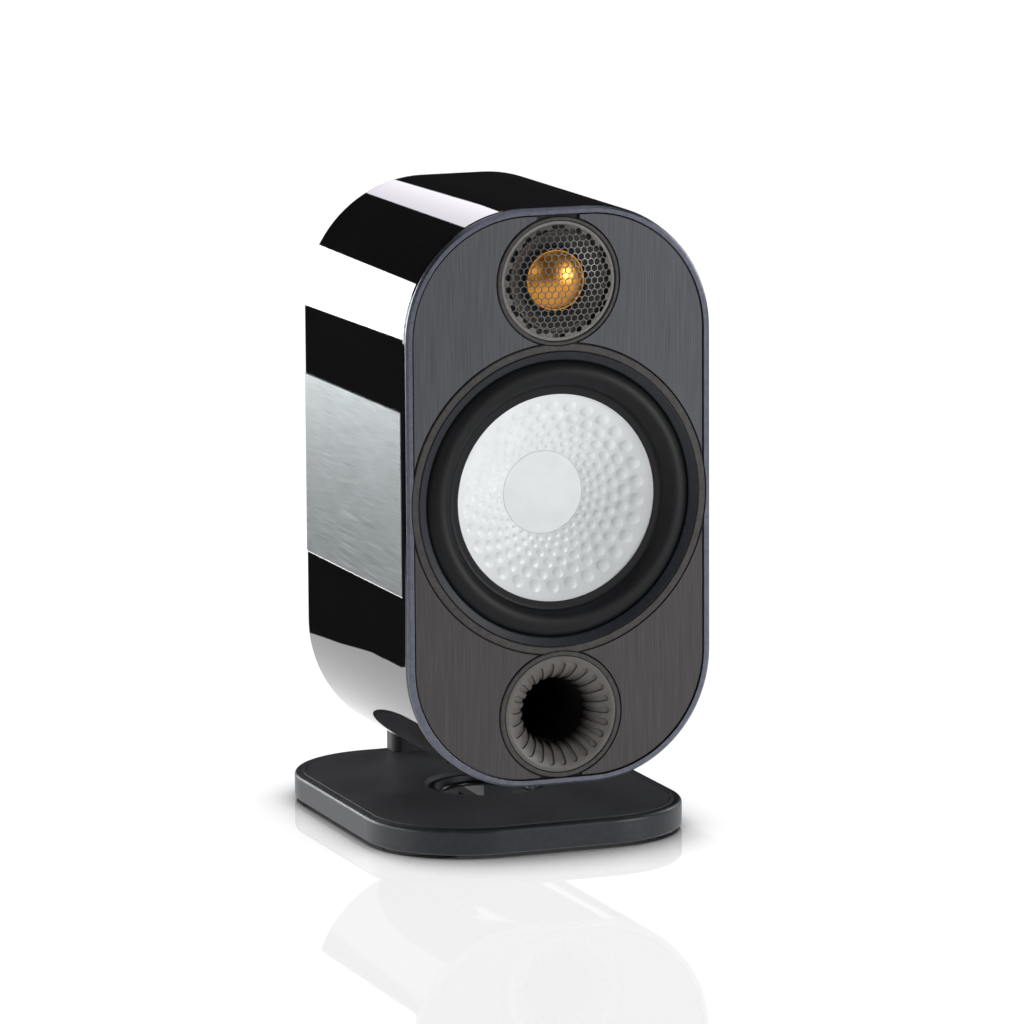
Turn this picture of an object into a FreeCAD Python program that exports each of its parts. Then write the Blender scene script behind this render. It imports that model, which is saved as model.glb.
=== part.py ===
import FreeCAD, Part

import math
import os

from FreeCAD import Vector

# Two-way bookshelf loudspeaker on a desktop stand, in millimetres.
# +Z is up, the drivers face -Y, and the origin lies on the floor at the centre of the footprint.
# Inside the cabinet, "depth" runs back from the front face and "height" up from the cabinet's centre.

# Cabinet
cabinet_width = 140.0
cabinet_height = 252.0
cabinet_depth = 131.0
cabinet_corner = 55.5
wall = 7.0
lip = 3.6
shell_front_round = 1.6
shell_back_round = 1.0
panel_clearance = 0.15
rear_panel_thickness = 5.0
rear_panel_recess = 1.0

# Front baffle and its trims
bezel_inset = 0.3
bezel_width = 2.8
bezel_thickness = 1.8
bezel_chamfer = 1.0
baffle_thickness = 10.0
gasket_thickness = 1.0
plate_thickness = 1.2
shadow_gap = 0.7
plate_ring_gap = 0.5
plate_tip_half_gap = 9.8
trim_clearance = 0.15

# Side panels
side_panel_height = 79.6
side_panel_centre = 0.5
side_panel_setback = 7.4
side_panel_thickness = 1.2
side_panel_stands_out = 0.2

# Rings around the drivers and the port
tweeter_height = 94.0
woofer_height = -0.6
port_height = -94.7
small_ring_outer = 27.9
tweeter_ring_inner = 26.0
port_ring_inner = 25.6
woofer_ring_inner = 64.4
woofer_ring_width = 3.4
ring_front = 0.2
ring_chamfer = 0.4

# Woofer: its radii run inward and outward from the inner edge of its trim ring
surround_span = 19.2
cone_rim_depth = 5.0
cone_dish = 16.0
cone_sag = 1.2
cone_thickness = 0.8
cone_flange = 3.3
cap_radius = 18.05
cap_thickness = 0.7
cap_ledge = 1.6
surround_thickness = 0.8
surround_rise = 3.4
surround_flange = 3.8
clamp_ring_width = 4.0
clamp_ring_thickness = 2.8
basket_thickness = 3.0
basket_wall = 2.0
basket_depth = 34.2
basket_windows = 6
basket_window_width = 30.0
spider_pitch = 4.8
spider_wave_height = 1.1
spider_thickness = 0.6
spider_land = 4.5
woofer_coil_inner = 16.6
woofer_former_wall = 0.4
woofer_winding = 0.7
woofer_winding_length = 10.0
woofer_gap = 0.5
woofer_top_plate_thickness = 5.0
woofer_plate_setback = 24.4
woofer_magnet_overhang = 2.0
woofer_magnet_inner = 22.0
woofer_magnet_thickness = 14.0
woofer_back_plate_thickness = 5.0
woofer_vent_radius = 5.0
woofer_screw_outset = 4.0
woofer_ear_radius = 4.6

# Tweeter
dome_radius = 12.5
dome_rise = 4.2
dome_thickness = 0.3
dome_depth = 4.0
dome_flange = 0.5
tweeter_surround_width = 1.7
tweeter_surround_rise = 0.9
tweeter_surround_land = 1.8
tweeter_surround_thickness = 0.35
faceplate_thickness = 5.0
waveguide_inner = 17.0
waveguide_outer = 21.5
waveguide_top = 1.4
waveguide_groove = 3.4
grille_rim = 1.2
grille_crown_radius = 90.0
grille_shoulder_start = 14.0
grille_rim_angle = 33.0
grille_thickness = 0.8
grille_hole = 2.55
grille_pitch = 3.2
tweeter_coil_wall = 0.3
tweeter_coil_length = 8.2
tweeter_gap = 0.4
tweeter_top_plate_thickness = 3.0
tweeter_motor_radius = 22.0
tweeter_magnet_thickness = 8.0
tweeter_magnet_inner = 15.0
tweeter_yoke_thickness = 4.0
tweeter_screw_circle = 23.9

# Bass port
port_radius = 14.3
port_wall = 2.0
port_tube_length = 64.0
flare_radius = 24.0
flare_front = 0.5
flare_depth = 13.5
flare_flange_thickness = 2.0

# Crossover and lining
board_width = 50.0
board_height = 80.0
board_thickness = 1.6
board_wall_gap = 6.4
board_rear_gap = 5.0
board_height_centre = 0.0
standoff_radius = 3.0
standoff_inset = 6.0
inductor_radius = 13.0
inductor_bore = 6.0
inductor_length = 14.0
capacitor_radius = 7.0
capacitor_length = 18.0
resistor_size = 8.0
resistor_length = 24.0
foam_thickness = 14.0
foam_height = 90.0
foam_length = 50.0

# Terminals
terminal_height = 28.0
cup_width = 62.0
cup_height = 42.0
cup_corner = 8.0
cup_flange = 7.0
cup_flange_thickness = 2.0
cup_screw_inset = 2.6
cup_depth = 12.0
cup_wall = 2.0
post_spacing = 19.0
stud_radius = 3.0
stud_length = 22.0
stud_socket_radius = 2.05
stud_socket_depth = 14.0
stud_collar_radius = 5.5
stud_collar_length = 3.0
post_running_gap = 0.08
post_cap_radius = 7.0
post_cap_length = 12.0
post_washer_thickness = 1.0
post_flutes = 10
post_flute_radius = 1.1
terminal_nut_radius = 5.5
terminal_nut_thickness = 3.0

# Fixings
screw_radius = 1.7
screw_head_radius = 3.1
screw_head_height = 1.5
screw_length = 8.0
screw_boss_end = 2.0
bolt_radius = 2.5
bolt_head_radius = 4.25
bolt_head_height = 3.0
driver_socket = 1.2

# Stand
base_width = 145.0
base_depth = 180.0
base_corner = 46.0
base_thickness = 11.3
base_edge_round = 1.8
foot_height = 1.5
foot_radius = 18.0
foot_inset_x = 50.0
foot_inset_y = 55.0
foot_socket = 1.0
mat_edge = 3.4
mat_thickness = 1.6
mat_recess = 1.2
mat_groove_inset = 1.6
mat_groove_width = 0.5
mat_groove_depth = 0.4
cable_well_radius = 20.0
cable_ring_radius = 23.0
cable_ring_depth = 3.3
cable_ring_thickness = 2.0
cable_well_rim = 27.6
cable_notch_width = 12.0
cable_notch_height = 6.0
arm_width = 33.0
arm_thickness = 12.5
arm_corner = 4.0
arm_front_gap = 37.3
arm_foot_gap = 0.6
arm_top_above_neck = 22.0
neck_height = -50.0
neck_width = 30.0
neck_tall = 36.0
neck_wall = 5.0
neck_flange = 9.0
neck_flange_thickness = 5.0
neck_bolt_spacing = 22.0
backing_width = 56.0
backing_height = 60.0
backing_thickness = 3.0
cabinet_lift = 17.6

# Places and radii that follow from the sizes above
woofer_ring_outer = woofer_ring_inner + woofer_ring_width
clamp_ring_inner = woofer_ring_inner - clamp_ring_width
cone_radius = woofer_ring_inner - surround_span
woofer_plate_radius = woofer_ring_inner - woofer_plate_setback
woofer_magnet_radius = woofer_plate_radius + woofer_magnet_overhang
woofer_screw_circle = woofer_ring_inner + woofer_screw_outset
grille_rim_depth = bezel_thickness - grille_thickness
grille_shoulder_angle = math.asin(grille_shoulder_start / grille_crown_radius)
grille_edge = tweeter_ring_inner - trim_clearance
grille_dish = grille_edge - grille_rim
grille_shoulder_radius = (grille_dish - grille_shoulder_start) / (
    math.sin(math.radians(grille_rim_angle)) - math.sin(grille_shoulder_angle))
grille_crown_drop = grille_crown_radius * (1 - math.cos(grille_shoulder_angle))
grille_shoulder_drop = grille_shoulder_radius * (
    math.cos(grille_shoulder_angle) - math.cos(math.radians(grille_rim_angle)))
grille_front = grille_rim_depth - grille_crown_drop - grille_shoulder_drop

face_overhang = 2.8
stand_y = (face_overhang - grille_front) / 2
face_y = stand_y - base_depth / 2 - face_overhang
base_top = foot_height + base_thickness
cabinet_z = base_top + cabinet_lift + cabinet_height / 2
baffle_front = bezel_thickness
baffle_back = baffle_front + baffle_thickness
ledge_depth = baffle_back + gasket_thickness
rear_panel_back = cabinet_depth - rear_panel_recess
rear_panel_front = rear_panel_back - rear_panel_thickness
screw_boss_front = rear_panel_front - screw_length - screw_boss_end
board_depth = screw_boss_front - board_rear_gap - board_width
arm_front = cabinet_depth + arm_front_gap
thread_radius = screw_radius - 0.2
cut_over = 1.0

ALONG_Y = Vector(0, 1, 0)
UP = Vector(0, 0, 1)


def save(name, *solids):
    """Write one sub-part, a single solid or a group of separate ones."""
    shape = solids[0] if len(solids) == 1 else Part.makeCompound(list(solids))
    shape.exportStep("parts/" + name + ".step")


def at(x, depth, height):
    """A point in the cabinet, from its centre line, front face and mid height."""
    return Vector(x, face_y + depth, cabinet_z + height)


def disc(radius, front, back, height=0.0, x=0.0):
    """A cylinder along the depth, between two depths."""
    return Part.makeCylinder(radius, back - front, at(x, front, height), ALONG_Y)


def annulus(outer, inner, front, back, height=0.0, x=0.0):
    bore = disc(inner, front - cut_over, back + cut_over, height, x)
    return disc(outer, front, back, height, x).cut(bore)


def box(x_low, x_high, front, back, low, high):
    """A block in cabinet coordinates."""
    return Part.makeBox(x_high - x_low, back - front, high - low, at(x_low, front, low))


def spun(start, steps, height=0.0):
    """Turn an outline of (radius, depth) points about a driver's axis.

    A step is a point for a straight line, or a pair (point on the way, end) for an arc.
    """
    def place(point):
        return Vector(point[0], face_y + point[1], 0)

    edges = []
    here = start
    for step in list(steps) + [start]:
        if isinstance(step[0], tuple):
            edges.append(Part.Arc(place(here), place(step[0]), place(step[1])).toShape())
            here = step[1]
        else:
            edges.append(Part.LineSegment(place(here), place(step)).toShape())
            here = step
    face = Part.Face(Part.Wire(edges))
    solid = face.revolve(Vector(0, 0, 0), ALONG_Y, 360)
    solid.translate(Vector(0, 0, cabinet_z + height))
    return solid


def rounded_block(width, tall, corner, origin, across, along, through):
    """A block with a rounded-rectangle section: across and along span it, through is its length."""
    half_w = width / 2 - corner
    half_t = tall / 2 - corner
    bend = corner * math.sqrt(0.5)
    edges = []
    turns = ((1, 1), (-1, 1), (-1, -1), (1, -1))
    ends = []
    for index, (sx, st) in enumerate(turns):
        centre = origin + across * (sx * half_w) + along * (st * half_t)
        side = centre + across * (sx * corner)
        end = centre + along * (st * corner)
        middle = centre + across * (sx * bend) + along * (st * bend)
        first, last = (side, end) if index % 2 == 0 else (end, side)
        edges.append(Part.Arc(first, middle, last).toShape())
        ends.append((first, last))
    straights = []
    for index in range(4):
        start = ends[index][1]
        finish = ends[(index + 1) % 4][0]
        if start.distanceToPoint(finish) > 1e-6:
            straights.append(Part.LineSegment(start, finish).toShape())
    wire = Part.Wire(Part.__sortEdges__(edges + straights))
    return Part.Face(wire).extrude(through)


def cabinet_block(inset, front, back):
    """The cabinet's rounded outline, drawn in by inset, between two depths."""
    return rounded_block(cabinet_width - 2 * inset, cabinet_height - 2 * inset, cabinet_corner - inset,
                         at(0, front, 0), Vector(1, 0, 0), UP, Vector(0, back - front, 0))


def base_block(inset, low, high):
    """The base's rounded outline, drawn in by inset, between two heights above the floor."""
    return rounded_block(base_width - 2 * inset, base_depth - 2 * inset, base_corner - inset,
                         Vector(0, stand_y, low), Vector(1, 0, 0), ALONG_Y, Vector(0, 0, high - low))


def edges_at(shape, axis, value):
    """The edges that lie wholly in one plane across an axis."""
    found = []
    for edge in shape.Edges:
        limits = edge.BoundBox
        low = getattr(limits, axis + "Min")
        high = getattr(limits, axis + "Max")
        if abs(low - value) < 1e-4 and abs(high - value) < 1e-4:
            found.append(edge)
    return found


def around(count, radius, start_angle=0.0):
    """Evenly spaced (x, height) places on a circle."""
    places = []
    for index in range(count):
        angle = math.radians(start_angle) + 2 * math.pi * index / count
        places.append((radius * math.cos(angle), radius * math.sin(angle)))
    return places


def screw_along(origin, direction, radius, length, head_radius, head_height):
    """A socket-head screw whose head bears on the plane through origin and points back along direction."""
    shank = Part.makeCylinder(radius, length, origin, direction)
    head = Part.makeCylinder(head_radius, head_height, origin, direction * -1)
    socket = Part.makeCylinder(driver_socket, head_height * 0.6 + cut_over, origin - direction * head_height * 0.4,
                               direction * -1)
    return shank.fuse(head).removeSplitter().cut(socket)


# ---------------------------------------------------------------- cabinet

def side_pocket_depth():
    return side_panel_thickness - side_panel_stands_out


def rear_screw_places():
    inset = (lip + wall) / 2 + 4.0
    straight = cabinet_height / 2 - cabinet_corner
    side = cabinet_width / 2 - inset
    top = cabinet_height / 2 - inset
    reach = (cabinet_corner - inset) * math.sqrt(0.5)
    corner_x = cabinet_width / 2 - cabinet_corner + reach
    corner_h = straight + reach
    return [(side, 0), (-side, 0), (0, top), (0, -top),
            (corner_x, corner_h), (-corner_x, corner_h), (corner_x, -corner_h), (-corner_x, -corner_h)]


def cabinet_shell():
    outer = cabinet_block(0, bezel_thickness, cabinet_depth)
    outer = outer.makeFillet(shell_front_round, edges_at(outer, "Y", face_y + bezel_thickness))
    outer = outer.makeFillet(shell_back_round, edges_at(outer, "Y", face_y + cabinet_depth))
    shell = outer.cut(cabinet_block(wall, ledge_depth - cut_over, cabinet_depth))
    shell = shell.cut(cabinet_block(lip, 0, ledge_depth))
    shell = shell.cut(cabinet_block(lip, rear_panel_front, cabinet_depth + cut_over))
    low = side_panel_centre - side_panel_height / 2 - trim_clearance
    high = side_panel_centre + side_panel_height / 2 + trim_clearance
    inner = cabinet_width / 2 - side_pocket_depth()
    outer_x = cabinet_width / 2 + cut_over
    front = side_panel_setback - trim_clearance
    shell = shell.cut(box(inner, outer_x, front, cabinet_depth + cut_over, low, high))
    shell = shell.cut(box(-outer_x, -inner, front, cabinet_depth + cut_over, low, high))
    for x, height in rear_screw_places():
        boss = disc(screw_head_radius + 1.5, screw_boss_front, rear_panel_front, height, x)
        shell = shell.fuse(boss.common(cabinet_block(wall / 2, 0, cabinet_depth)))
    for x, height in rear_screw_places():
        hole_front = rear_panel_front - screw_length
        shell = shell.cut(disc(screw_radius, hole_front, rear_panel_front + cut_over, height, x))
    save("cabinet_shell", shell.removeSplitter())


def side_panel(name, side):
    low = side_panel_centre - side_panel_height / 2
    high = side_panel_centre + side_panel_height / 2
    inner = side * (cabinet_width / 2 - side_pocket_depth())
    outer = side * (cabinet_width / 2 + side_panel_stands_out)
    panel = box(min(inner, outer), max(inner, outer), side_panel_setback, cabinet_depth - 0.3, low, high)
    face_edges = edges_at(panel, "X", outer)
    save(name, panel.makeChamfer(side_panel_stands_out / 2, face_edges))


def rear_panel():
    panel = cabinet_block(lip + panel_clearance, rear_panel_front, rear_panel_back)
    for x, height in rear_screw_places():
        panel = panel.cut(disc(screw_radius + 0.15, 0, cabinet_depth, height, x))
    cup = terminal_opening(panel_clearance, rear_panel_front - cut_over, rear_panel_back + cut_over)
    panel = panel.cut(cup)
    for x, height in neck_bolt_places():
        panel = panel.cut(disc(bolt_radius + 0.15, 0, cabinet_depth, height, x))
    for x, height in cup_screw_places():
        panel = panel.cut(disc(screw_radius, 0, cabinet_depth, height, x))
    save("rear_panel", panel)


def panel_screws():
    """The same screw holds the rear panel to the shell and the terminal cup to the rear panel."""
    length = rear_panel_thickness + screw_length - 1.0
    seats = [at(x, rear_panel_back, height) for x, height in rear_screw_places()]
    seats += [at(x, rear_panel_back + cup_flange_thickness, height) for x, height in cup_screw_places()]
    screws = []
    for seat in seats:
        screws.append(screw_along(seat, ALONG_Y * -1, thread_radius, length, screw_head_radius, screw_head_height))
    save("panel_screws", *screws)


# ---------------------------------------------------------------- front baffle and trims

def woofer_ear_places():
    return around(4, woofer_screw_circle, 45.0)


def tweeter_screw_places():
    return around(3, tweeter_screw_circle, 90.0)


def basket_recess_depth():
    return baffle_front + clamp_stack() + basket_thickness


def clamp_stack():
    """From the baffle's front back to the basket's flange: the surround's rim lies between."""
    return clamp_back() - baffle_front + surround_thickness


def clamp_back():
    return ring_front + clamp_ring_thickness


def front_baffle():
    baffle = cabinet_block(lip + panel_clearance, baffle_front, baffle_back)
    recess_back = basket_recess_depth()
    baffle = baffle.cut(disc(woofer_ring_inner + trim_clearance, 0, recess_back, woofer_height))
    baffle = baffle.cut(disc(basket_throat() + panel_clearance * 2, 0, baffle_back + cut_over, woofer_height))
    for x, height in woofer_ear_places():
        place = woofer_height + height
        baffle = baffle.cut(disc(woofer_ear_radius + trim_clearance, 0, recess_back, place, x))
        baffle = baffle.cut(disc(screw_radius, 0, baffle_back - 0.6, place, x))
    faceplate_seat = baffle_front + faceplate_thickness
    baffle = baffle.cut(disc(small_ring_outer, 0, faceplate_seat, tweeter_height))
    baffle = baffle.cut(disc(tweeter_motor_radius + 0.5, 0, baffle_back + cut_over, tweeter_height))
    for x, height in tweeter_screw_places():
        place = tweeter_height + height
        baffle = baffle.cut(disc(screw_radius, 0, baffle_back - 0.6, place, x))
    flange_seat = baffle_front + flare_flange_thickness
    baffle = baffle.cut(disc(small_ring_outer, 0, flange_seat, port_height))
    baffle = baffle.cut(disc(flare_radius, 0, baffle_back + cut_over, port_height))
    save("front_baffle", baffle)


def baffle_gasket():
    gasket = cabinet_block(lip + panel_clearance, baffle_back, ledge_depth)
    gasket = gasket.cut(cabinet_block(wall + 0.3, baffle_back - cut_over, ledge_depth + cut_over))
    save("baffle_gasket", gasket)


def ring_clearances(gap, front, back):
    """Clearance discs around the three front rings."""
    return (disc(woofer_ring_outer + gap, front, back, woofer_height),
            disc(small_ring_outer + gap, front, back, tweeter_height),
            disc(small_ring_outer + gap, front, back, port_height))


def baffle_bezel():
    bezel = cabinet_block(bezel_inset, 0, bezel_thickness)
    bezel = bezel.makeChamfer(bezel_chamfer, edges_at(bezel, "Y", face_y))
    bezel = bezel.cut(cabinet_block(bezel_inset + bezel_width, -cut_over, bezel_thickness + cut_over))
    for clearance in ring_clearances(trim_clearance, -cut_over, bezel_thickness + cut_over):
        bezel = bezel.cut(clearance)
    save("baffle_bezel", bezel)


def trim_plates():
    front = baffle_front - plate_thickness
    inset = bezel_inset + bezel_width + shadow_gap
    blank = cabinet_block(inset, front, baffle_front)
    for clearance in ring_clearances(plate_ring_gap, front - cut_over, baffle_front + cut_over):
        blank = blank.cut(clearance)
    tall = cabinet_height / 2
    wide = cabinet_width / 2
    blank = blank.cut(box(-wide, wide, front - cut_over, baffle_front + cut_over,
                          woofer_height - plate_ring_gap, woofer_height + plate_ring_gap))
    blank = blank.cut(box(-plate_tip_half_gap, plate_tip_half_gap, front - cut_over, baffle_front + cut_over,
                          tweeter_height, tall))
    blank = blank.cut(box(-plate_tip_half_gap, plate_tip_half_gap, front - cut_over, baffle_front + cut_over,
                          -tall, port_height))
    for solid in blank.Solids:
        centre = solid.CenterOfMass
        vertical = "upper" if centre.z > cabinet_z else "lower"
        sideways = "left" if centre.x < 0 else "right"
        save("trim_plate_" + vertical + "_" + sideways, solid)


def chamfered_ring(outer, inner, front, back, height):
    c = ring_chamfer
    return spun((inner, back), [(inner, front + c), (inner + c, front), (outer - c, front),
                                (outer, front + c), (outer, back)], height)


def front_rings():
    woofer_ring = chamfered_ring(woofer_ring_outer, woofer_ring_inner, ring_front, baffle_front, woofer_height)
    for height in (tweeter_height, port_height):
        woofer_ring = woofer_ring.cut(disc(small_ring_outer + trim_clearance, -cut_over, baffle_back, height))
    save("woofer_trim_ring", woofer_ring)
    save("tweeter_trim_ring",
         chamfered_ring(small_ring_outer, tweeter_ring_inner, ring_front, baffle_front, tweeter_height))
    save("port_trim_ring",
         chamfered_ring(small_ring_outer, port_ring_inner, ring_front, baffle_front, port_height))


# ---------------------------------------------------------------- woofer

def cone_floor():
    return cone_rim_depth + cone_dish


def basket_throat():
    return woofer_ring_inner - 8.0


def basket_flange_front():
    return clamp_back() + surround_thickness


def basket_floor():
    return basket_flange_front() + basket_depth


def spider_shelf():
    return basket_floor() - 12.0


def woofer_clamp_ring():
    outer = woofer_ring_inner - trim_clearance
    ring = spun((outer, clamp_back()), [(outer, ring_front + 0.4), (outer - 0.4, ring_front + 0.2),
                                        (clamp_ring_inner + 0.4, ring_front + 1.5),
                                        (clamp_ring_inner, ring_front + 1.9),
                                        (clamp_ring_inner, clamp_back())], woofer_height)
    save("woofer_clamp_ring", ring)


def woofer_surround():
    t = surround_thickness
    rim_out = woofer_ring_inner - trim_clearance - 0.3
    rim_in = rim_out - surround_flange
    lip_out = cone_radius + cone_flange
    middle = (rim_in + lip_out) / 2
    outer_front = clamp_back()
    inner_front = cone_rim_depth - t
    crest = (outer_front + inner_front) / 2 - surround_rise
    outline = [(rim_in, outer_front),
               ((middle, crest), (lip_out, inner_front)),
               (cone_radius, inner_front),
               (cone_radius, inner_front + t),
               (lip_out, inner_front + t),
               ((middle, crest + t), (rim_in, outer_front + t)),
               (rim_out, outer_front + t)]
    save("woofer_surround", spun((rim_out, outer_front), outline, woofer_height))


def woofer_cone():
    t = cone_thickness
    rim = cone_radius + cone_flange
    seat = cone_floor() + cap_thickness
    wall_in = cap_radius + trim_clearance
    ledge_in = cap_radius - cap_ledge
    middle = ((cone_radius + wall_in) / 2, (cone_rim_depth + cone_floor()) / 2 + cone_sag)
    back_middle = (middle[0], middle[1] + t)
    outline = [(cone_radius, cone_rim_depth),
               (middle, (wall_in, cone_floor())),
               (wall_in, seat),
               (ledge_in, seat),
               (ledge_in, seat + t),
               (wall_in + t, seat + t),
               (wall_in + t, cone_floor() + t),
               (back_middle, (cone_radius, cone_rim_depth + t)),
               (rim, cone_rim_depth + t)]
    save("woofer_cone", spun((rim, cone_rim_depth), outline, woofer_height))
    save("woofer_centre_cap", disc(cap_radius, cone_floor(), seat, woofer_height))


def woofer_voice_coil():
    front = cone_floor() + cap_thickness + cone_thickness
    former = woofer_coil_inner + woofer_former_wall
    winding = former + woofer_winding
    winding_front = basket_floor() - (woofer_winding_length - woofer_top_plate_thickness) / 2
    winding_back = winding_front + woofer_winding_length
    outline = [(former, front), (former, winding_front), (winding, winding_front), (winding, winding_back),
               (woofer_coil_inner, winding_back)]
    save("woofer_voice_coil", spun((woofer_coil_inner, front), outline, woofer_height))


def woofer_spider():
    t = spider_thickness
    land_in = woofer_plate_radius + 1.0
    land_out = land_in + spider_land
    coil = woofer_coil_inner + woofer_former_wall
    back = spider_shelf()
    spider_waves = max(1, int((land_in - coil) / spider_pitch + 0.001))
    step = (land_in - coil) / (2 * spider_waves)
    front_steps = []
    for index in range(2 * spider_waves):
        start = land_in - index * step
        rise = -spider_wave_height if index % 2 == 0 else spider_wave_height
        front_steps.append(((start - step / 2, back - t + rise), (start - step, back - t)))
    back_steps = []
    for index in range(2 * spider_waves):
        start = coil + index * step
        rise = spider_wave_height if index % 2 == 0 else -spider_wave_height
        back_steps.append(((start + step / 2, back + rise), (start + step, back)))
    outline = [(land_in, back - t)] + front_steps + [(coil, back)] + back_steps + [(land_out, back)]
    save("woofer_spider", spun((land_out, back - t), outline, woofer_height))


def woofer_basket():
    front = basket_flange_front()
    flange_back = front + basket_thickness
    throat = basket_throat()
    rim = woofer_ring_inner - trim_clearance
    shelf = spider_shelf()
    floor = basket_floor()
    shelf_in = woofer_plate_radius
    shelf_out = shelf_in + spider_land + 3.5
    outline = [(rim, front), (rim, flange_back), (throat, flange_back), (shelf_out + basket_wall, shelf + basket_wall),
               (shelf_in + basket_wall, shelf + basket_wall), (shelf_in + basket_wall, floor),
               (woofer_plate_radius - 6.0, floor), (woofer_plate_radius - 6.0, floor - basket_wall),
               (shelf_in, floor - basket_wall), (shelf_in, shelf), (shelf_out, shelf),
               (throat - basket_wall, flange_back - 0.6)]
    basket = spun((throat - basket_wall, front), outline, woofer_height)
    for x, height in woofer_ear_places():
        ear = disc(woofer_ear_radius, front, flange_back, woofer_height + height, x)
        basket = basket.fuse(ear)
    basket = basket.cut(disc(throat - basket_wall, 0, flange_back - 0.6, woofer_height))
    for x, height in woofer_ear_places():
        hole = disc(screw_radius + 0.15, 0, flange_back + cut_over, woofer_height + height, x)
        basket = basket.cut(hole)
    window = box(woofer_plate_radius - 2.0, throat + 6.0, flange_back + 3.0, shelf - 2.0,
                 -basket_window_width / 2, basket_window_width / 2)
    window.translate(Vector(0, 0, woofer_height))
    for index in range(basket_windows):
        turned = window.copy()
        turned.rotate(at(0, 0, woofer_height), ALONG_Y, 360.0 * index / basket_windows)
        basket = basket.cut(turned)
    save("woofer_basket", basket.removeSplitter())


def woofer_motor():
    floor = basket_floor()
    winding = woofer_coil_inner + woofer_former_wall + woofer_winding
    plate_back = floor + woofer_top_plate_thickness
    magnet_back = plate_back + woofer_magnet_thickness
    yoke_back = magnet_back + woofer_back_plate_thickness
    save("woofer_top_plate", annulus(woofer_plate_radius, winding + woofer_gap, floor, plate_back, woofer_height))
    save("woofer_magnet", annulus(woofer_magnet_radius, woofer_magnet_inner, plate_back, magnet_back, woofer_height))
    pole = woofer_coil_inner - woofer_gap
    outline = [(woofer_vent_radius, yoke_back), (woofer_vent_radius, floor), (pole, floor), (pole, magnet_back),
               (woofer_plate_radius, magnet_back)]
    save("woofer_yoke", spun((woofer_plate_radius, yoke_back), outline, woofer_height))


def woofer_screws():
    screws = []
    for x, height in woofer_ear_places():
        screws.append(screw_along(at(x, basket_flange_front(), woofer_height + height), ALONG_Y, thread_radius,
                                  screw_length - 1.0, screw_head_radius, screw_head_height))
    save("woofer_screws", *screws)


# ---------------------------------------------------------------- tweeter

def faceplate_back():
    return baffle_front + faceplate_thickness


def tweeter_seat():
    """Depth of the ledge that the dome's surround is glued to."""
    return dome_depth + tweeter_surround_thickness


def grille_profile():
    """Points of the grille's front surface as (radius, depth), rim first: rim, shoulder middle, shoulder, crown."""
    rim = math.radians(grille_rim_angle)
    centre_r = grille_shoulder_start - grille_shoulder_radius * math.sin(grille_shoulder_angle)
    shoulder_depth = grille_front + grille_crown_drop
    centre_depth = shoulder_depth + grille_shoulder_radius * math.cos(grille_shoulder_angle)
    half = (rim + grille_shoulder_angle) / 2
    middle = (centre_r + grille_shoulder_radius * math.sin(half),
              centre_depth - grille_shoulder_radius * math.cos(half))
    crown_half = grille_shoulder_angle / 2
    crown_middle = (grille_crown_radius * math.sin(crown_half),
                    grille_front + grille_crown_radius * (1 - math.cos(crown_half)))
    return (grille_dish, grille_rim_depth), middle, (grille_shoulder_start, shoulder_depth), crown_middle


def tweeter_grille():
    edge, middle, shoulder, crown_middle = grille_profile()
    t = grille_thickness
    deeper = [(radius, depth + t) for radius, depth in (edge, middle, shoulder, crown_middle)]
    outline = [(grille_edge, edge[1]), edge, (middle, shoulder), (crown_middle, (0.0, grille_front)),
               (0.0, grille_front + t), (deeper[3], deeper[2]), (deeper[1], deeper[0])]
    grille = spun((grille_edge, edge[1] + t), outline, tweeter_height)
    row_pitch = grille_pitch * math.sqrt(0.75)
    across_corners = grille_hole / math.sqrt(3)
    reach = grille_dish - grille_hole / 2
    rows = int(reach / row_pitch)
    holes = []
    for row in range(-rows, rows + 1):
        shift = grille_pitch / 2 if row % 2 else 0.0
        columns = int(reach / grille_pitch) + 1
        for column in range(-columns, columns + 1):
            x = column * grille_pitch + shift
            height = row * row_pitch
            if math.hypot(x, height) > reach:
                continue
            corners = []
            for corner in range(7):
                angle = math.radians(90 + 60 * corner)
                corners.append(at(x + across_corners * math.cos(angle), grille_front - cut_over,
                                  tweeter_height + height + across_corners * math.sin(angle)))
            hexagon = Part.Face(Part.makePolygon(corners))
            holes.append(hexagon.extrude(Vector(0, faceplate_back(), 0)))
    save("tweeter_grille", grille.cut(Part.makeCompound(holes)).Solids[0])


def tweeter_faceplate():
    seat = tweeter_seat()
    inner = dome_radius + dome_flange + tweeter_surround_width + 0.1
    rim_in = small_ring_outer - trim_clearance * 2 - 2.2
    outer = small_ring_outer - trim_clearance * 2
    outline = [(inner, seat), (waveguide_inner, seat), (waveguide_outer - 0.8, waveguide_top + 0.1),
               (waveguide_outer, waveguide_top), (waveguide_outer + 0.4, waveguide_top + 0.3),
               (waveguide_outer + 0.4, waveguide_groove), (rim_in, waveguide_groove), (rim_in, baffle_front),
               (outer, baffle_front), (outer, faceplate_back())]
    plate = spun((inner, faceplate_back()), outline, tweeter_height)
    for x, height in tweeter_screw_places():
        hole = disc(screw_radius + 0.05, 0, faceplate_back() + cut_over, tweeter_height + height, x)
        plate = plate.cut(hole)
    save("tweeter_faceplate", plate)


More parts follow.
